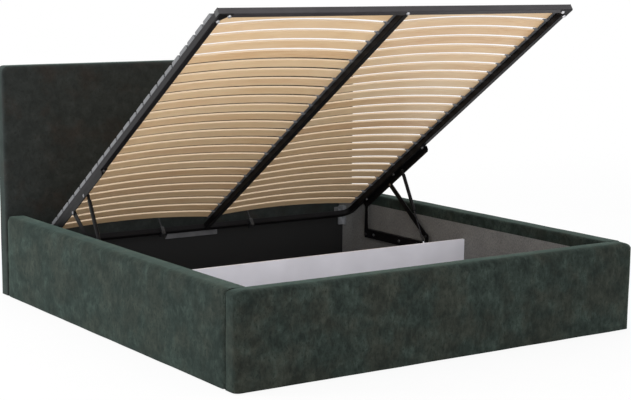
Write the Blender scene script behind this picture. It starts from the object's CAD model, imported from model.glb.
import bpy
import bmesh
import math
from bpy.props import FloatProperty, FloatVectorProperty, PointerProperty
from mathutils import Matrix, Vector, noise

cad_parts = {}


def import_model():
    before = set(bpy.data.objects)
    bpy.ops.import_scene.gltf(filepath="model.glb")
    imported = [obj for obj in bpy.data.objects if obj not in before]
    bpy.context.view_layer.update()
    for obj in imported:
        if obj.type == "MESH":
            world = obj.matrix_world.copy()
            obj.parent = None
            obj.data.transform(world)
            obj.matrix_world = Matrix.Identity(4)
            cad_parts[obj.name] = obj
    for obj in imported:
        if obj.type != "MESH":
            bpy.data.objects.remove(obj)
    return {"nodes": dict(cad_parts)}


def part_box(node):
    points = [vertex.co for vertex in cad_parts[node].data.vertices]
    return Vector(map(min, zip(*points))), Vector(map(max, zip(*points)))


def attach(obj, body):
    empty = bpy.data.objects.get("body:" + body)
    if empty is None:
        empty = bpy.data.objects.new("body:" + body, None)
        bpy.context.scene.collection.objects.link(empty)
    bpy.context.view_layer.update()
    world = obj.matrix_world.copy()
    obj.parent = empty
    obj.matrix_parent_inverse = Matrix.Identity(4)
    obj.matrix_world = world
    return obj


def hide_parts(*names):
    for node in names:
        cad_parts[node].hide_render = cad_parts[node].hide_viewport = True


bl_info = {
    "name": "Storage bed frame",
    "version": (1, 0, 0),
    "blender": (4, 5, 0),
    "location": "View3D > Sidebar > Bed",
    "description": ("Covers, linings, finishes and stage for an upholstered bed "
                    "with a lifting slatted base"),
    "category": "Object",
}

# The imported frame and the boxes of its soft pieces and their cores
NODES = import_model()["nodes"]
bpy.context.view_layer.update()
HEAD, HEAD_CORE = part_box("headboard_cover"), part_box("headboard_frame")
FOOT, FOOT_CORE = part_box("footboard_cover"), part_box("footboard_frame")
RAIL, RAIL_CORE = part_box("right_rail_cover"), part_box("right_rail_frame")
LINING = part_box("right_rail_lining")
SIDES = ((1.0, "right"), (-1.0, "left"))

# Place of the raised base and its slats, so that each slat gets its own tone and grain
BASE_TILT = math.radians(34.7)
BASE_EDGE = (0.0, 0.877, 0.2775)
FIRST_SLAT = 0.124
SLAT_STEP = 0.074

# All lengths below are in metres.
# How close a point counts as lying on a face, and how far a cutter reaches past its piece
HAIR = 0.0001
FINE = 0.0005
NEAR = 0.001
OVERCUT = 0.01

# Padding of all covers. A face looks along an axis when that share of its normal does, and
# edges wave less than faces. The higher a crown's power, the flatter its middle.
FACING = 0.7
EDGE_WAVE = 0.7
CROWN_ALONG = 12
CORNER_STEPS = 8
RIM_STEPS = 6
SMOOTH_ANGLE = math.radians(40.0)

# Rails: bevels, tucked ends, distance between cuts, size of the waves and power of the crown
RAIL_TOP_STEPS = 6
RAIL_INNER_RADIUS = 0.012
RAIL_INNER_STEPS = 5
RAIL_END_RADIUS = 0.0025
RAIL_END_STEPS = 3
RAIL_END_START = 0.014
RAIL_END_CUTS = (0.009, 0.022)
RAIL_TUCK_DEPTH = 0.006
RAIL_TUCK_LENGTH = 0.026
RAIL_GRID = 0.045
RAIL_WAVE = 0.16
RAIL_CROWN_UP = 4

# Footboard: soft top corners, rims, how far the cover holds its core, then as for the rails
FOOT_CORNER_DROP = 0.026
FOOT_CORNER_RUN = 0.062
FOOT_BACK_DROP_SHARE = 0.56
FOOT_FRONT_RIM = 0.025
FOOT_BACK_RIM = 0.006
FOOT_CORE_COVER = 0.02
FOOT_GRID = 0.045
FOOT_WAVE = 0.16
FOOT_CROWN_UP = 4

# Headboard
HEAD_CORNER_RADIUS = 0.034
HEAD_RIM = 0.018
HEAD_GRID = 0.05
HEAD_WAVE = 0.2
HEAD_CROWN_UP = 6

# Linings
LINING_GRID = 0.05
LINING_WAVE = 0.09
LINING_WAVE_HEIGHT = 0.0006

# Noise stays mostly between these two values
NOISE_LOW, NOISE_HIGH = 0.3, 0.7

# Velvet: fineness of its parts, their shares in tone and height, and shades by the tone.
# Its flecks are FLECK_FINENESS times as fine as the nap, and where they pass PARTED the pile
# parts and looks darker.
FLECK_FINENESS = 2.8
PATCH_FINENESS = (10.0, 9.0, 13.0)
PILE_FINENESS = 700.0
HUE_FINENESS = 6.0
MOTTLE_TONE, PATCH_TONE, PILE_TONE = 0.48, 0.42, 0.1
MOTTLE_HEIGHT, FLECK_HEIGHT, PILE_HEIGHT = 0.6, 0.2, 0.2
GREEN_STOPS = ((0.40, 0.48), (0.47, 0.8), (0.54, 1.22), (0.62, 1.95))
BROWN_STOPS = ((0.40, 0.55), (0.5, 1.0), (0.62, 1.7))
BROWN_TINT = (1.12, 0.9, 0.84)
BROWN_FADE = (-0.1, 0.06)
PARTED = (0.55, 0.66)
PARTED_SHARE = 0.7
PARTED_SHADE = 0.35
SHEEN_TINT = (0.48, 0.72, 0.64, 1.0)

# Velvet of each cover: shade, fineness of the nap, start of the brown and contrast
RAIL_VELVET = {"nap": (36.0, 28.0, 20.0), "browned": 0.52, "depth": 1.25}
RAIL_SHADE = 1.12
FOOT_VELVET = {"nap": (46.0, 38.0, 26.0), "browned": 0.53, "depth": 1.0}
FOOT_SHADE = 1.25
HEAD_VELVET = {"nap": (26.0, 30.0, 22.0), "browned": 0.6, "depth": 0.45}

# Slats: fineness of the grain, shares in tone, draws that make a slat rosy and by how much,
# how squarely an edge faces along the base, tints by the tone, and keys of the draws
GRAIN_FINENESS = (7.0, 260.0, 260.0)
BROAD_FINENESS = (4.5, 22.0, 22.0)
GRAIN_TONE, BROAD_TONE, SLAT_TONE = 0.42, 0.38, 0.2
ROSY_DRAW = (0.45, 1.0)
ROSY_SHARE = 0.5
EDGE_ON = (0.8, 0.95)
WOOD_STOPS = ((0.26, (0.78, 0.66, 0.56)), (0.42, (0.95, 0.9, 0.84)),
              (0.55, (1.0, 1.0, 1.0)), (0.75, (1.06, 1.12, 1.22)))
ROSY_STOPS = ((0.3, (0.80, 0.64, 0.56)), (0.7, (0.98, 0.95, 0.96)))
CUT_TINT = (0.72, 0.76, 0.86)
SIDE_KEY, TONE_KEY, ROSY_KEY = 40.0, 3.0, 9.0

# Colours of the boards, plastics and metals
TIMBER = (0.50, 0.35, 0.20)
POST_GREY = (0.17, 0.17, 0.175)
BOARD_WHITE = (0.88, 0.87, 0.95)
BOARD_DARK = (0.013, 0.013, 0.013)
HARDBOARD_GREY = (0.16, 0.16, 0.165)
GLIDE_BLACK = (0.015, 0.015, 0.016)
PLUG_BLACK = (0.014, 0.014, 0.015)
BRACKET_ZINC = (0.46, 0.47, 0.49)
SCREW_ZINC = (0.9, 0.9, 0.92)
BRACKET_GREY = (0.11, 0.11, 0.115)
WIRE_GREY = (0.03, 0.03, 0.032)
BOLT_STEEL = (0.34, 0.34, 0.35)
PIN_STEEL = (0.26, 0.26, 0.27)
SOCKET_STEEL = (0.66, 0.67, 0.69)
ROD_BLACK = (0.035, 0.035, 0.038)
FLOOR_TONES = ((NOISE_LOW, (0.80, 0.80, 0.80)), (NOISE_HIGH, (0.84, 0.84, 0.84)))
WHITE = (1.0, 1.0, 1.0, 1.0)

# Powder paint on the tubes that catch more light, as shades of the steel colour
SIDE_TUBE_SHADE = 1.8
FOOT_TUBE_SHADE = 5.4
LIFT_SHADE = 0.8

# Stage: floor, where its shading begins to fade behind the bed, and by how much
FLOOR_SIZE = 60.0
FADE_START, FADE_END = 1.5, 4.0
FADE_SHARE = 0.1

# Lamps: name, place, aim, width and share of the lamp power
LAMPS = (
    ("side lamp", (-6.0, 3.2, 3.0), (0.0, 0.0, 0.5), 4.0, 1.0),
    ("front lamp", (-2.4, -7.0, 2.2), (0.0, 0.0, 0.4), 4.0, 0.55),
    ("low lamp", (-1.8, -5.6, 1.0), (0.0, 0.5, 0.6), 2.0, 0.09),
    ("top lamp", (0.5, 0.0, 6.5), (0.0, 0.0, 0.0), 5.0, 0.34),
)

# Camera, solved from the straight edges of the surround
CAMERA_PLACE = (-3.9166, -5.7893, 1.5405)
CAMERA_YAW = math.radians(33.03)
CAMERA_PITCH = math.radians(10.173)
CAMERA_ROLL = math.radians(0.26)
CAMERA_SHIFT = (0.0677, 0.0788)
SENSOR_WIDTH = 36.0
CLIP_END = 100.0


# Material nodes

class Wire:
    """A value in a node tree; arithmetic on it adds Math nodes."""

    def __init__(self, nodes, socket):
        self.nodes = nodes
        self.socket = socket

    def joined(self, operation, *values):
        return self.nodes.node("ShaderNodeMath", {"operation": operation}, dict(enumerate(values)))

    def __add__(self, other):
        return self.joined("ADD", self, other)

    def __radd__(self, other):
        return self.joined("ADD", other, self)

    def __sub__(self, other):
        return self.joined("SUBTRACT", self, other)

    def __rsub__(self, other):
        return self.joined("SUBTRACT", other, self)

    def __mul__(self, other):
        return self.joined("MULTIPLY", self, other)

    def __rmul__(self, other):
        return self.joined("MULTIPLY", other, self)

    def __truediv__(self, other):
        return self.joined("DIVIDE", self, other)

    def __rtruediv__(self, other):
        return self.joined("DIVIDE", other, self)

    def __gt__(self, other):
        return self.joined("GREATER_THAN", self, other)

    def __lt__(self, other):
        return self.joined("LESS_THAN", self, other)

    def __abs__(self):
        return self.joined("ABSOLUTE", self)

    def __floor__(self):
        return self.joined("FLOOR", self)


class Nodes:
    """A node tree that code adds nodes to."""

    def __init__(self, tree):
        self.tree = tree

    def node(self, kind, settings=None, sockets=None, output=0):
        """Add one node, with its settings first and then its values or links."""
        made = self.tree.nodes.new(kind)
        for name, value in (settings or {}).items():
            if name == "stops":
                ramp = made.color_ramp.elements
                while len(ramp) < len(value):
                    ramp.new(1.0)
                for element, (position, colour) in zip(ramp, value):
                    element.position = position
                    element.color = rgba(colour)
            else:
                setattr(made, name, value)
        for key, value in (sockets or {}).items():
            socket = made.inputs[key]
            if isinstance(value, Wire):
                self.tree.links.new(value.socket, socket)
            else:
                socket.default_value = value
        return Wire(self, made.outputs[output])

    def seen_directly(self):
        """1 for camera, mirror and see-through rays."""
        camera = self.node("ShaderNodeLightPath", output="Is Camera Ray")
        mirror = self.node("ShaderNodeLightPath", output="Is Glossy Ray")
        through = self.node("ShaderNodeLightPath", output="Is Transmission Ray")
        return self.node("ShaderNodeMath", {"operation": "MINIMUM"},
                         {0: camera + mirror + through, 1: 1.0})


class Finish(Nodes):
    """A procedural material on the piece's own coordinates."""

    def __init__(self, name, metallic=0.0, roughness=0.5, coat=0.0, sheen=0.0):
        self.material = bpy.data.materials.new(name)
        self.material.use_nodes = True
        super().__init__(self.material.node_tree)
        self.shader = self.tree.nodes["Principled BSDF"]
        self.shader.inputs["Metallic"].default_value = metallic
        self.shader.inputs["Roughness"].default_value = roughness
        self.shader.inputs["Coat Weight"].default_value = coat
        self.shader.inputs["Sheen Weight"].default_value = sheen
        self.place = self.node("ShaderNodeTexCoord", output="Object")

    def axis(self, name, place=None):
        return self.node("ShaderNodeSeparateXYZ", {}, {0: place or self.place}, output=name)

    def cloud(self, fineness, place=None, detail=3.0, rough=0.55, twist=0.0):
        """Soft noise between 0 and 1, with one fineness or with one for each axis."""
        place = place or self.place
        if isinstance(fineness, tuple):
            place = self.node("ShaderNodeMapping", {}, {"Vector": place, "Scale": fineness})
            fineness = 1.0
        sockets = {"Vector": place, "Scale": fineness, "Detail": detail,
                   "Roughness": rough, "Distortion": twist}
        return self.node("ShaderNodeTexNoise", {}, sockets)

    def draw(self, key):
        """An even random value for each key."""
        return self.node("ShaderNodeTexWhiteNoise", {"noise_dimensions": "3D"}, {"Vector": key})

    def ramp(self, factor, stops):
        return self.node("ShaderNodeValToRGB", {"stops": stops}, {0: factor})

    def shades(self, factor, colour, *stops):
        """A ramp through shades of one colour."""
        return self.ramp(factor, [(place, shade(colour, share)) for place, share in stops])

    def tints(self, factor, colour, stops):
        """A ramp through tints of one colour."""
        return self.ramp(factor, [(place, tinted(colour, tint)) for place, tint in stops])

    def span(self, value, low, high, to_low=0.0, to_high=1.0):
        """Map one range of values onto another and hold it there."""
        sockets = {"Value": value, "From Min": low, "From Max": high,
                   "To Min": to_low, "To Max": to_high}
        return self.node("ShaderNodeMapRange", {}, sockets)

    def blended(self, factor, first, second):
        """Mix two colours."""
        sockets = {0: factor, 6: first, 7: second}
        return self.node("ShaderNodeMix", {"data_type": "RGBA"}, sockets, output=2)

    def feed(self, name, value):
        """Set or link one of the shader's inputs."""
        if isinstance(value, Wire):
            self.tree.links.new(value.socket, self.shader.inputs[name])
        else:
            self.shader.inputs[name].default_value = value

    def vary_roughness(self, haze, low, high):
        self.feed("Roughness", self.span(haze, NOISE_LOW, NOISE_HIGH, low, high))

    def relief(self, height, strength, distance):
        """Raise the surface by a height pattern."""
        sockets = {"Height": height, "Strength": strength, "Distance": distance}
        self.feed("Normal", self.node("ShaderNodeBump", {}, sockets))


def rgba(colour):
    return (*colour, 1.0)


def shade(colour, factor):
    return tuple(part * factor for part in colour)


def tinted(colour, tint):
    return tuple(part * factor for part, factor in zip(colour, tint))


def velvet(name, colour, nap, browned, depth):
    """Short-pile velvet whose pile lies in cloudy blotches, with darker flecks where it parts.

    The nap is the fineness of the blotches along each axis and the depth is their contrast.
    The pile turns brown where slow noise passes the value of browned.
    """
    def toned(base, stops):
        return [(place, shade(base, 1.0 + (factor - 1.0) * depth)) for place, factor in stops]

    finish = Finish(name, roughness=0.92, sheen=0.16)
    finish.feed("Sheen Roughness", 0.5)
    finish.feed("Sheen Tint", SHEEN_TINT)
    finish.feed("Specular IOR Level", 0.08)
    flecks = finish.cloud(shade(nap, FLECK_FINENESS), rough=0.65, twist=0.3)
    mottle = finish.cloud(nap, detail=5.0, rough=0.72, twist=0.4)
    patches = finish.cloud(PATCH_FINENESS, detail=4.0, rough=0.6, twist=0.4)
    pile = finish.cloud(PILE_FINENESS, detail=1.0)
    hue = finish.cloud(HUE_FINENESS, detail=4.0, rough=0.6)
    tone = mottle * MOTTLE_TONE + patches * PATCH_TONE + pile * PILE_TONE
    green = finish.ramp(tone, toned(colour, GREEN_STOPS))
    brown = finish.ramp(tone, toned(tinted(colour, BROWN_TINT), BROWN_STOPS))
    turned = finish.span(hue, *(browned + step for step in BROWN_FADE))
    lain = finish.blended(turned, green, brown)
    parted = finish.span(flecks, *PARTED, to_high=PARTED_SHARE * depth)
    finish.feed("Base Color", finish.blended(parted, lain, rgba(shade(colour, PARTED_SHADE))))
    height = mottle * MOTTLE_HEIGHT + flecks * FLECK_HEIGHT + pile * PILE_HEIGHT
    finish.relief(height, strength=0.35 * depth, distance=0.0014)
    return finish.material


def lining_cloth(colour):
    """Thin woven cloth with flecks, stretched over the inside of the rails."""
    finish = Finish("lining cloth", roughness=0.9)
    flecks = finish.cloud((240.0, 240.0, 108.0), detail=2.0, rough=0.7)
    broad = finish.cloud(9.0, detail=2.0)
    tone = flecks * 0.75 + broad * 0.25
    finish.feed("Base Color", finish.shades(tone, colour, (0.3, 0.6), (0.5, 1.0), (0.72, 1.5)))
    finish.relief(flecks, strength=0.3, distance=0.0006)
    return finish.material


def beech_laminate(colour):
    """Lacquered slats: each has its own tone, grain along its length and another edge tint."""
    finish = Finish("slat laminate", roughness=0.42, coat=0.12)
    base = finish.node("ShaderNodeMapping", {"vector_type": "TEXTURE"},
                       {"Vector": finish.place, "Location": BASE_EDGE,
                        "Rotation": (-BASE_TILT, 0.0, 0.0)})
    before_first = FIRST_SLAT - SLAT_STEP / 2
    number = math.floor((finish.axis("Y", base) * -1.0 - before_first) / SLAT_STEP)
    side = (finish.axis("X", base) > 0.0) * SIDE_KEY
    tone_key = finish.node("ShaderNodeCombineXYZ", {}, {0: number, 1: side, 2: TONE_KEY})
    rosy_key = finish.node("ShaderNodeCombineXYZ", {}, {0: number, 1: side, 2: ROSY_KEY})
    shifted = finish.node("ShaderNodeVectorMath", {"operation": "ADD"}, {0: base, 1: tone_key})
    grain = finish.cloud(GRAIN_FINENESS, shifted, detail=4.0, rough=0.6, twist=0.3)
    broad = finish.cloud(BROAD_FINENESS, shifted, detail=2.0, rough=0.5)
    tone = grain * GRAIN_TONE + broad * BROAD_TONE + finish.draw(tone_key) * SLAT_TONE
    plain = finish.tints(tone, colour, WOOD_STOPS)
    rosy = finish.tints(tone, colour, ROSY_STOPS)
    turned = finish.span(finish.draw(rosy_key), *ROSY_DRAW, to_high=ROSY_SHARE)
    wood = finish.blended(turned, plain, rosy)
    facing = finish.node("ShaderNodeNewGeometry", output="True Normal")
    along_base = (0.0, math.cos(BASE_TILT), -math.sin(BASE_TILT))
    edge = finish.node("ShaderNodeVectorMath", {"operation": "DOT_PRODUCT"},
                       {0: facing, 1: along_base}, output="Value")
    cut = finish.span(abs(edge), *EDGE_ON)
    finish.feed("Base Color", finish.blended(cut, wood, rgba(tinted(colour, CUT_TINT))))
    finish.vary_roughness(grain, low=0.5, high=0.36)
    finish.relief(grain, strength=0.12, distance=0.0004)
    return finish.material


def powder_coat(name, colour, rough=0.45, gloss=0.12):
    """Baked powder paint with a fine orange-peel surface."""
    finish = Finish(name, roughness=rough)
    finish.feed("Specular IOR Level", gloss)
    peel = finish.cloud(1400.0, detail=1.0)
    haze = finish.cloud(14.0)
    finish.feed("Base Color", finish.shades(haze, colour, (NOISE_LOW, 0.8), (NOISE_HIGH, 1.25)))
    finish.vary_roughness(haze, rough - 0.06, rough + 0.08)
    finish.relief(peel, strength=0.12, distance=0.0003)
    return finish.material


def bright_metal(name, colour, rough):
    """Plated or polished steel with faint drawn marks."""
    finish = Finish(name, metallic=1.0, roughness=rough)
    haze = finish.cloud(60.0, detail=4.0)
    marks = finish.cloud((900.0, 900.0, 90.0))
    finish.feed("Base Color", finish.shades(haze, colour, (NOISE_LOW, 0.82), (NOISE_HIGH, 1.0)))
    finish.vary_roughness(haze, rough * 0.8, rough * 1.3)
    finish.relief(marks, strength=0.08, distance=0.0002)
    return finish.material


def moulded(name, colour, rough):
    """Moulded plastic with a fine eroded texture."""
    finish = Finish(name, roughness=rough)
    skin = finish.cloud(1800.0, detail=2.0)
    haze = finish.cloud(22.0)
    finish.feed("Base Color", finish.shades(haze, colour, (NOISE_LOW, 0.9), (NOISE_HIGH, 1.08)))
    finish.relief(skin, strength=0.15, distance=0.0003)
    return finish.material


def faced_board(name, colour, rough, gloss=0.5):
    """Melamine-faced board with a faint pearl surface."""
    finish = Finish(name, roughness=rough)
    finish.feed("Specular IOR Level", gloss)
    haze = finish.cloud(5.0, detail=2.0)
    pearl = finish.cloud(700.0, detail=1.0)
    finish.feed("Base Color", finish.shades(haze, colour, (NOISE_LOW, 0.93), (NOISE_HIGH, 1.04)))
    finish.vary_roughness(haze, rough - 0.05, rough + 0.07)
    finish.relief(pearl, strength=0.06, distance=0.0002)
    return finish.material


def planed_timber(colour):
    """Softwood with grain along its length."""
    finish = Finish("planed timber", roughness=0.7)
    rings = finish.cloud((60.0, 60.0, 4.0), detail=5.0, twist=0.6)
    finish.feed("Base Color", finish.shades(rings, colour, (0.3, 0.7), (0.5, 1.0), (0.7, 1.15)))
    finish.relief(rings, strength=0.2, distance=0.0006)
    return finish.material


# Modelling steps

def edit():
    bpy.ops.object.mode_set(mode="EDIT")


def end_edit():
    bpy.ops.object.mode_set(mode="OBJECT")


def pick(piece):
    """Make one piece the selected and active object."""
    bpy.ops.object.select_all(action="DESELECT")
    piece.select_set(True)
    bpy.context.view_layer.objects.active = piece


def begin_block(name, low, high):
    """Start a piece from a cube primitive that fills two corners, and stay in edit mode."""
    bpy.ops.object.select_all(action="DESELECT")
    bpy.ops.mesh.primitive_cube_add(size=1.0)
    piece = bpy.context.object
    piece.name = name
    piece.data.name = name
    edit()
    bpy.ops.mesh.select_all(action="SELECT")
    low, high = Vector(low), Vector(high)
    bpy.ops.transform.resize(value=high - low)
    bpy.ops.transform.translate(value=(low + high) / 2)
    return piece


def bevel_edges(wanted, radius, steps):
    """Bevel the edges of the piece in hand whose two ends pass a test."""
    bpy.ops.mesh.select_mode(type="EDGE")
    bpy.ops.mesh.select_all(action="DESELECT")
    data = bpy.context.edit_object.data
    mesh = bmesh.from_edit_mesh(data)
    for edge in mesh.edges:
        first, second = (vertex.co for vertex in edge.verts)
        if wanted(first, second):
            edge.select_set(True)
    bmesh.update_edit_mesh(data)
    bpy.ops.mesh.bevel(offset=radius, segments=steps, profile=0.5)


def round_edges(test, along, radius, steps):
    """Bevel the edges that run along some of the axes and whose ends pass a test."""
    def wanted(first, second):
        run = second - first
        level = all(abs(run[axis]) < FINE for axis in range(3) if axis not in along)
        return level and test(first) and test(second)
    bevel_edges(wanted, radius, steps)


def round_rim(end, low, radius):
    """Round the rim of a board's face, apart from its lower edge."""
    def wanted(*places):
        on_face = all(abs(place.y - end) < FINE for place in places)
        hem = all(place.z < low + FINE for place in places)
        return on_face and not hem
    bevel_edges(wanted, radius, RIM_STEPS)


def cut_across(axis, place):
    """Cut the piece in hand across an axis."""
    normal = Vector((0.0, 0.0, 0.0))
    normal[axis] = 1.0
    bpy.ops.mesh.select_all(action="SELECT")
    bpy.ops.mesh.bisect(plane_co=normal * place, plane_no=normal)


def slice_piece(axis, low, high, step):
    """Cut the piece in hand across an axis at even places."""
    count = max(1, round((high - low) / step))
    for number in range(1, count):
        cut_across(axis, low + (high - low) * number / count)


def hollow_out(piece, low, high):
    """Cut a box out of the piece with a Boolean."""
    cutter = begin_block("cutter", low, high)
    end_edit()
    pick(piece)
    cut = piece.modifiers.new("Hollow", "BOOLEAN")
    cut.operation = "DIFFERENCE"
    cut.solver = "EXACT"
    cut.object = cutter
    bpy.ops.object.modifier_apply(modifier=cut.name)
    bpy.data.objects.remove(cutter)


def swell(piece, rise):
    """Move each point along its normal by what the rise says of both, and shade smoothly."""
    mesh = bmesh.new()
    mesh.from_mesh(piece.data)
    mesh.normal_update()
    moves = [(vertex, vertex.normal * rise(vertex.co, vertex.normal)) for vertex in mesh.verts]
    for vertex, move in moves:
        vertex.co += move
    mesh.to_mesh(piece.data)
    mesh.free()
    pick(piece)
    bpy.ops.object.shade_smooth_by_angle(angle=SMOOTH_ANGLE)


def crowned(value, low, high, power):
    """1 in the middle of a range, falling to 0 at its ends."""
    share = abs(2.0 * (value - low) / (high - low) - 1.0)
    return max(0.0, 1.0 - share ** power)


def ripple(place, size):
    """Slow unevenness of stretched cloth, between -1 and 1."""
    return noise.noise(place / size)


def board_rise(sizes, box, core, core_top, wave_size, crown_up, on_face):
    """Padding of an upright board: at rest on its core, crowned on its faces, waved all over."""
    low, high = box

    def rise(place, normal):
        if (core[0].x - NEAR < place.x < core[1].x + NEAR
                and core[0].y - NEAR < place.y < core[1].y + NEAR and place.z < core_top):
            return 0.0
        wave = sizes.ripple_height * ripple(place, wave_size)
        if on_face(normal.y):
            return (sizes.board_crown * crowned(place.x, low.x, high.x, CROWN_ALONG)
                    * crowned(place.z, low.z, high.z, crown_up) + wave)
        return wave * EDGE_WAVE
    return rise


def finish_piece(piece, body, material):
    piece.data.materials.clear()
    piece.data.materials.append(material)
    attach(piece, body)


def paint(material, *names):
    """Give carried-over nodes their finish."""
    for name in names:
        node = NODES[name]
        for slot in node.material_slots:
            slot.material = material
        if not node.material_slots:
            node.data.materials.append(material)


# Properties

class BedSurroundProperties(bpy.types.PropertyGroup):
    velvet_colour: FloatVectorProperty(
        name="Velvet", description="Colour of the upholstery", subtype="COLOR", size=3,
        default=(0.0135, 0.0185, 0.0157), min=0.0, max=1.0)
    headboard_colour: FloatVectorProperty(
        name="Headboard velvet",
        description="Colour of the headboard, whose pile lies away from the light",
        subtype="COLOR", size=3, default=(0.0196, 0.0220, 0.0214), min=0.0, max=1.0)
    lining_colour: FloatVectorProperty(
        name="Lining", description="Colour of the cloth inside the rails", subtype="COLOR", size=3,
        default=(0.150, 0.148, 0.144), min=0.0, max=1.0)
    board_crown: FloatProperty(
        name="Board crown", description="How far the padding stands out in the middle of a board",
        default=0.004, min=0.0, max=0.02, unit="LENGTH")
    ripple_height: FloatProperty(
        name="Ripple", description="Height of the slow waves in the padding",
        default=0.0012, min=0.0, max=0.01, unit="LENGTH")
    edge_radius: FloatProperty(
        name="Edge radius", description="Rounding along the outer top edges of the rails",
        default=0.027, min=0.005, max=0.03, unit="LENGTH")


class BedBaseProperties(bpy.types.PropertyGroup):
    slat_colour: FloatVectorProperty(
        name="Slats", description="Colour of the slats", subtype="COLOR", size=3,
        default=(0.89, 0.640, 0.385), min=0.0, max=1.0)
    steel_colour: FloatVectorProperty(
        name="Steel", description="Colour of the painted steel", subtype="COLOR", size=3,
        default=(0.0055, 0.005, 0.0055), min=0.0, max=1.0)
    holder_colour: FloatVectorProperty(
        name="Holders", description="Colour of the slat holders", subtype="COLOR", size=3,
        default=(0.115, 0.118, 0.126), min=0.0, max=1.0)


class BedStageProperties(bpy.types.PropertyGroup):
    lamp_power: FloatProperty(
        name="Lamp", description="Power of the large side lamp in watts", default=315.0, min=0.0,
        unit="POWER")
    sky_light: FloatProperty(
        name="Sky", description="Strength of the even light from all sides", default=0.75, min=0.0)
    lens: FloatProperty(name="Lens", description="Focal length", default=87.98, unit="CAMERA")


# Operators

class BED_OT_side_rails(bpy.types.Operator):
    """Padded covers of the two side rails, folded over the top edge"""
    bl_idname = "bed.side_rails"
    bl_label = "Side rail covers"

    def execute(self, context):
        sizes = context.scene.bed_surround
        material = velvet("rail velvet", shade(sizes.velvet_colour, RAIL_SHADE), **RAIL_VELVET)
        for side, name in SIDES:
            piece = self.shape(sizes, side, f"{name}_rail_velvet")
            swell(piece, self.padding(sizes, side))
            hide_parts(f"{name}_rail_cover")
            finish_piece(piece, "surround", material)
        return {"FINISHED"}

    def shape(self, sizes, side, name):
        """A board with rounded edges, hollowed for its timber core and for the lining."""
        wall, front, low = RAIL[0]
        outer, back, top = RAIL[1]

        def box(first, second, y0, y1, z0, z1):
            x0, x1 = sorted((side * first, side * second))
            return (x0, y0, z0), (x1, y1, z1)

        piece = begin_block(name, *box(wall, outer, front, back, low, top))
        round_edges(lambda place: side * place.x > outer - NEAR and place.z > top - NEAR,
                    (1,), sizes.edge_radius, RAIL_TOP_STEPS)
        round_edges(lambda place: side * place.x < wall + NEAR and place.z > top - NEAR,
                    (1,), RAIL_INNER_RADIUS, RAIL_INNER_STEPS)
        for end in (front, back):
            round_edges(lambda place: (abs(place.y - end) < NEAR
                                       and side * place.x > wall + RAIL_END_START),
                        (0, 2), RAIL_END_RADIUS, RAIL_END_STEPS)
        end_edit()
        inner, core_outer, core_top = RAIL_CORE[0].x, RAIL_CORE[1].x, RAIL_CORE[1].z
        past_front, past_back, below = front - OVERCUT, back + OVERCUT, low - OVERCUT
        hollow_out(piece, *box(inner, core_outer, past_front, past_back, below, core_top))
        hollow_out(piece, *box(wall - OVERCUT, inner + FINE, past_front, past_back,
                               below, LINING[1].z))
        edit()
        slice_piece(1, front, back, RAIL_GRID)
        slice_piece(2, low, top, RAIL_GRID)
        near, far = RAIL_END_CUTS
        for place in (front + near, front + far, back - far, back - near):
            cut_across(1, place)
        end_edit()
        return piece

    def padding(self, sizes, side):
        """Crowned outer face, tucked in at both ends, over a core that holds the rest still."""
        _, front, low = RAIL[0]
        _, back, top = RAIL[1]

        def rise(place, normal):
            if side * place.x < RAIL_CORE[1].x + 2 * NEAR and place.z < RAIL_CORE[1].z + 2 * NEAR:
                return 0.0
            wave = sizes.ripple_height * ripple(place, RAIL_WAVE)
            if side * normal.x > FACING:
                near_end = min(place.y - front, back - place.y)
                tuck = -RAIL_TUCK_DEPTH * max(0.0, 1.0 - near_end / RAIL_TUCK_LENGTH) ** 2
                bulge = (sizes.board_crown * crowned(place.y, front, back, CROWN_ALONG)
                         * crowned(place.z, low, top, RAIL_CROWN_UP))
                return bulge + wave + tuck
            if abs(normal.y) > FACING:
                return 0.0
            return wave * EDGE_WAVE
        return rise


class BED_OT_footboard(bpy.types.Operator):
    """Padded cover of the footboard, with soft top corners"""
    bl_idname = "bed.footboard"
    bl_label = "Footboard cover"

    def execute(self, context):
        sizes = context.scene.bed_surround
        material = velvet("footboard velvet", shade(sizes.velvet_colour, FOOT_SHADE), **FOOT_VELVET)
        _, front, low = FOOT[0]
        half, back, top = FOOT[1]
        core_low, core_high = FOOT_CORE
        piece = begin_block("footboard_velvet", *FOOT)
        round_edges(lambda place: place.z > top - NEAR, (1,), FOOT_CORNER_DROP, CORNER_STEPS)
        self.lengthen_corners(half, back, top)
        round_rim(front, low, FOOT_FRONT_RIM)
        round_rim(back, low, FOOT_BACK_RIM)
        end_edit()
        hollow_out(piece, (core_low.x, core_low.y, low - OVERCUT),
                   (core_high.x, core_high.y, core_high.z - FOOT_CORE_COVER))
        edit()
        slice_piece(0, -half, half, FOOT_GRID)
        slice_piece(2, low, top, FOOT_GRID)
        end_edit()
        swell(piece, board_rise(sizes, FOOT, FOOT_CORE, core_high.z, FOOT_WAVE, FOOT_CROWN_UP,
                                lambda normal: normal < -FACING))
        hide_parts("footboard_cover")
        finish_piece(piece, "surround", material)
        return {"FINISHED"}

    def lengthen_corners(self, half, back, top):
        """Stretch the round top corners along the board, and let them drop less at its back."""
        data = bpy.context.edit_object.data
        mesh = bmesh.from_edit_mesh(data)
        for vertex in mesh.verts:
            past = abs(vertex.co.x) - (half - FOOT_CORNER_DROP)
            if past >= -HAIR and vertex.co.z > top - FOOT_CORNER_DROP - HAIR:
                reach = half - FOOT_CORNER_RUN + past * FOOT_CORNER_RUN / FOOT_CORNER_DROP
                vertex.co.x = math.copysign(reach, vertex.co.x)
                if vertex.co.y > back - NEAR:
                    vertex.co.z = top - (top - vertex.co.z) * FOOT_BACK_DROP_SHARE
        bmesh.update_edit_mesh(data)


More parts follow.
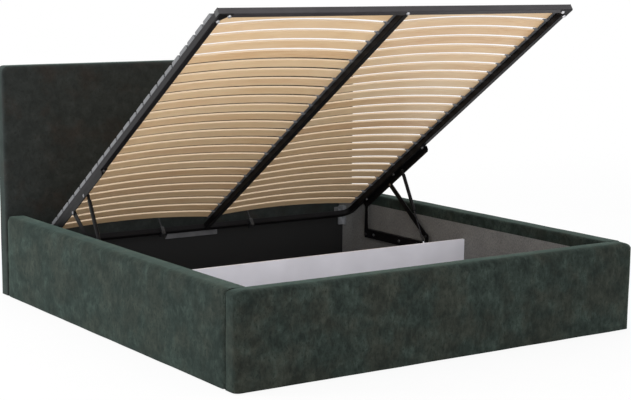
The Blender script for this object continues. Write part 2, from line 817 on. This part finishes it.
class BED_OT_headboard(bpy.types.Operator):
    """Padded cover of the headboard, with rounded corners"""
    bl_idname = "bed.headboard"
    bl_label = "Headboard cover"

    def execute(self, context):
        sizes = context.scene.bed_surround
        material = velvet("headboard velvet", sizes.headboard_colour, **HEAD_VELVET)
        _, front, low = HEAD[0]
        half, back, top = HEAD[1]
        core_low, core_high = HEAD_CORE
        piece = begin_block("headboard_velvet", *HEAD)
        round_edges(lambda place: place.z > top - NEAR, (1,), HEAD_CORNER_RADIUS, CORNER_STEPS)
        round_rim(front, low, HEAD_RIM)
        round_rim(back, low, HEAD_RIM)
        end_edit()
        hollow_out(piece, (core_low.x, core_low.y, low - OVERCUT), core_high)
        edit()
        slice_piece(0, -half, half, HEAD_GRID)
        slice_piece(2, low, top, HEAD_GRID)
        end_edit()
        swell(piece, board_rise(sizes, HEAD, HEAD_CORE, core_high.z + NEAR, HEAD_WAVE,
                                HEAD_CROWN_UP, lambda normal: abs(normal) > FACING))
        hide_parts("headboard_cover")
        finish_piece(piece, "surround", material)
        return {"FINISHED"}


class BED_OT_lining(bpy.types.Operator):
    """Thin cloth stretched over the inside of the rails"""
    bl_idname = "bed.lining"
    bl_label = "Rail linings"

    def execute(self, context):
        material = lining_cloth(context.scene.bed_surround.lining_colour)
        low, high = LINING
        for side, name in SIDES:
            x0, x1 = sorted((side * low.x, side * high.x))
            piece = begin_block(f"{name}_lining_cloth", (x0, low.y, low.z), (x1, high.y, high.z))
            slice_piece(1, low.y, high.y, LINING_GRID)
            slice_piece(2, low.z, high.z, LINING_GRID)
            end_edit()
            swell(piece, self.slack(side))
            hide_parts(f"{name}_rail_lining")
            finish_piece(piece, "surround", material)
        return {"FINISHED"}

    def slack(self, side):
        """Slight hollows in the face that looks into the box."""
        def rise(place, normal):
            if side * normal.x > -FACING:
                return 0.0
            return LINING_WAVE_HEIGHT * ripple(place, LINING_WAVE) - LINING_WAVE_HEIGHT
        return rise


class BED_OT_storage_box(bpy.types.Operator):
    """Boards, timbers, brackets and glides of the storage box"""
    bl_idname = "bed.storage_box"
    bl_label = "Storage box"

    def execute(self, context):
        paint(planed_timber(TIMBER), "headboard_frame", "footboard_frame", "left_rail_frame",
              "right_rail_frame", "left_floor_ledge", "right_floor_ledge", "floor_battens")
        paint(faced_board("grey post", POST_GREY, rough=0.6), "corner_posts")
        paint(faced_board("white board", BOARD_WHITE, rough=0.4), "cross_partition")
        paint(faced_board("dark board", BOARD_DARK, rough=0.7, gloss=0.15), "head_panel")
        paint(faced_board("grey hardboard", HARDBOARD_GREY, rough=0.6),
              "foot_floor_panel", "head_floor_panel")
        paint(moulded("black plastic", GLIDE_BLACK, rough=0.5), "rail_glides", "centre_glides")
        paint(bright_metal("zinc plate", BRACKET_ZINC, rough=0.42),
              "corner_brackets", "bracket_bolts")
        paint(powder_coat("grey steel", BRACKET_GREY, rough=0.5), "centre_bracket")
        return {"FINISHED"}


class BED_OT_slats(bpy.types.Operator):
    """Slats and their plastic holders"""
    bl_idname = "bed.slats"
    bl_label = "Slats and holders"

    def execute(self, context):
        colours = context.scene.bed_base
        paint(beech_laminate(colours.slat_colour), "left_slats", "right_slats")
        paint(moulded("holder plastic", colours.holder_colour, rough=0.45),
              "left_slat_holders", "right_slat_holders", "centre_slat_holders")
        return {"FINISHED"}


class BED_OT_base_frame(bpy.types.Operator):
    """Tubes, plates, screws and mattress stop of the lifting base"""
    bl_idname = "bed.base_frame"
    bl_label = "Base frame"

    def execute(self, context):
        steel = context.scene.bed_base.steel_colour
        paint(powder_coat("black powder coat", steel),
              "right_side_tube", "centre_beam", "foot_gussets")
        paint(powder_coat("head tube coat", steel, rough=0.5, gloss=0.07), "head_tube")
        paint(powder_coat("side tube coat", shade(steel, SIDE_TUBE_SHADE), gloss=0.13),
              "left_side_tube")
        paint(powder_coat("foot tube coat", shade(steel, FOOT_TUBE_SHADE), gloss=0.35),
              "foot_tube")
        paint(moulded("black end plugs", PLUG_BLACK, rough=0.45), "tube_plugs", "stop_clamps")
        paint(powder_coat("grey wire", WIRE_GREY, rough=0.5, gloss=0.05), "mattress_stop")
        paint(bright_metal("screw zinc", SCREW_ZINC, rough=0.5), "frame_screws")
        return {"FINISHED"}


class BED_OT_lift(bpy.types.Operator):
    """Arms, links, bars, bolts, pins and gas springs of the lift"""
    bl_idname = "bed.lift"
    bl_label = "Lift"

    def execute(self, context):
        steel = powder_coat("lift powder coat",
                            shade(context.scene.bed_base.steel_colour, LIFT_SHADE), rough=0.42)
        pins = bright_metal("pin steel", PIN_STEEL, rough=0.3)
        rod = bright_metal("black rod", ROD_BLACK, rough=0.25)
        socket = bright_metal("ball socket steel", SOCKET_STEEL, rough=0.22)
        for _, side in SIDES:
            paint(steel, *(f"{side}_{name}" for name in (
                "base_bar", "top_bar", "rear_arm", "front_link", "gas_cylinder",
                "cylinder_socket")))
            paint(pins, f"{side}_base_pins", f"{side}_top_pins")
            paint(rod, f"{side}_gas_rod")
            paint(socket, f"{side}_rod_socket")
        paint(bright_metal("plated bolt", BOLT_STEEL, rough=0.3),
              "base_bar_bolts", "top_bar_bolts")
        return {"FINISHED"}


class BED_OT_stage(bpy.types.Operator):
    """Floor, light and camera"""
    bl_idname = "bed.stage"
    bl_label = "Stage"

    def execute(self, context):
        sizes = context.scene.bed_stage
        self.add_floor(context)
        self.light_world(context, sizes.sky_light)
        for name, place, aim, width, share in LAMPS:
            self.add_lamp(context, name, place, aim, width, sizes.lamp_power * share)
        self.add_camera(context, sizes.lens)
        context.scene.view_settings.view_transform = "Standard"
        return {"FINISHED"}

    def add_floor(self, context):
        """A pale floor that holds shadows near the bed and looks white itself."""
        bpy.ops.object.select_all(action="DESELECT")
        bpy.ops.mesh.primitive_plane_add(size=FLOOR_SIZE)
        floor = context.object
        floor.name = "floor"
        finish = Finish("pale floor", roughness=0.9)
        grain = finish.cloud(3.0, detail=2.0)
        finish.feed("Base Color", finish.ramp(grain, FLOOR_TONES))
        glow = finish.node("ShaderNodeEmission", {}, {"Color": WHITE, "Strength": 1.0})
        far = finish.span(finish.axis("Y"), FADE_START, FADE_END)
        white = finish.seen_directly() * (far * FADE_SHARE + (1.0 - FADE_SHARE))
        surface = Wire(finish, finish.shader.outputs[0])
        mix = finish.node("ShaderNodeMixShader", {}, {0: white, 1: surface, 2: glow})
        output = finish.tree.nodes["Material Output"]
        finish.tree.links.new(mix.socket, output.inputs["Surface"])
        floor.data.materials.append(finish.material)

    def light_world(self, context, sky_light):
        """Even light from all sides, and plain white where it is seen."""
        world = bpy.data.worlds.new("soft studio")
        world.use_nodes = True
        context.scene.world = world
        nodes = Nodes(world.node_tree)
        sky = nodes.tree.nodes["Background"]
        sky.inputs["Color"].default_value = WHITE
        strength = nodes.seen_directly() * (1.0 - sky_light) + sky_light
        nodes.tree.links.new(strength.socket, sky.inputs["Strength"])

    def add_lamp(self, context, name, place, aim, width, power):
        lamp = bpy.data.lights.new(name, "AREA")
        lamp.shape = "SQUARE"
        lamp.size = width
        lamp.energy = power
        stand = bpy.data.objects.new(name, lamp)
        context.scene.collection.objects.link(stand)
        stand.location = place
        stand.rotation_mode = "QUATERNION"
        stand.rotation_quaternion = (Vector(aim) - Vector(place)).to_track_quat("-Z", "Y")

    def add_camera(self, context, lens):
        """The photograph's view, turned by yaw, then pitch, then roll."""
        camera = bpy.data.cameras.new("photo view")
        camera.lens = lens
        camera.sensor_width = SENSOR_WIDTH
        camera.clip_end = CLIP_END
        camera.shift_x, camera.shift_y = CAMERA_SHIFT
        stand = bpy.data.objects.new("photo view", camera)
        context.scene.collection.objects.link(stand)
        sin_yaw, cos_yaw = math.sin(CAMERA_YAW), math.cos(CAMERA_YAW)
        sin_pitch, cos_pitch = math.sin(CAMERA_PITCH), math.cos(CAMERA_PITCH)
        ahead = Vector((sin_yaw * cos_pitch, cos_yaw * cos_pitch, -sin_pitch))
        level = Vector((cos_yaw, -sin_yaw, 0.0))
        above = level.cross(ahead)
        right = level * math.cos(CAMERA_ROLL) + above * math.sin(CAMERA_ROLL)
        up = above * math.cos(CAMERA_ROLL) - level * math.sin(CAMERA_ROLL)
        turn = Matrix((right, up, -ahead)).transposed().to_4x4()
        stand.matrix_world = Matrix.Translation(CAMERA_PLACE) @ turn
        context.scene.camera = stand


class BED_PT_panel(bpy.types.Panel):
    """Steps that dress the bed"""
    bl_idname = "BED_PT_panel"
    bl_label = "Bed"
    bl_space_type = "VIEW_3D"
    bl_region_type = "UI"
    bl_category = "Bed"

    def draw(self, context):
        for operator in OPERATORS:
            self.layout.operator(operator.bl_idname)
        scene = context.scene
        for group in (scene.bed_surround, scene.bed_base, scene.bed_stage):
            for name in group.__annotations__:
                self.layout.prop(group, name)


# The steps, in the order in which they run
OPERATORS = (BED_OT_stage, BED_OT_headboard, BED_OT_footboard, BED_OT_side_rails, BED_OT_lining,
             BED_OT_storage_box, BED_OT_slats, BED_OT_base_frame, BED_OT_lift)
GROUPS = (BedSurroundProperties, BedBaseProperties, BedStageProperties)


def register():
    for item in GROUPS + OPERATORS + (BED_PT_panel,):
        bpy.utils.register_class(item)
    bpy.types.Scene.bed_surround = PointerProperty(type=BedSurroundProperties)
    bpy.types.Scene.bed_base = PointerProperty(type=BedBaseProperties)
    bpy.types.Scene.bed_stage = PointerProperty(type=BedStageProperties)


def unregister():
    del bpy.types.Scene.bed_surround, bpy.types.Scene.bed_base, bpy.types.Scene.bed_stage
    for item in reversed(GROUPS + OPERATORS + (BED_PT_panel,)):
        bpy.utils.unregister_class(item)


def main():
    register()
    for operator in OPERATORS:
        step = operator.bl_idname.split(".")[1]
        getattr(bpy.ops.bed, step)()


if __name__ == "__main__":
    main()
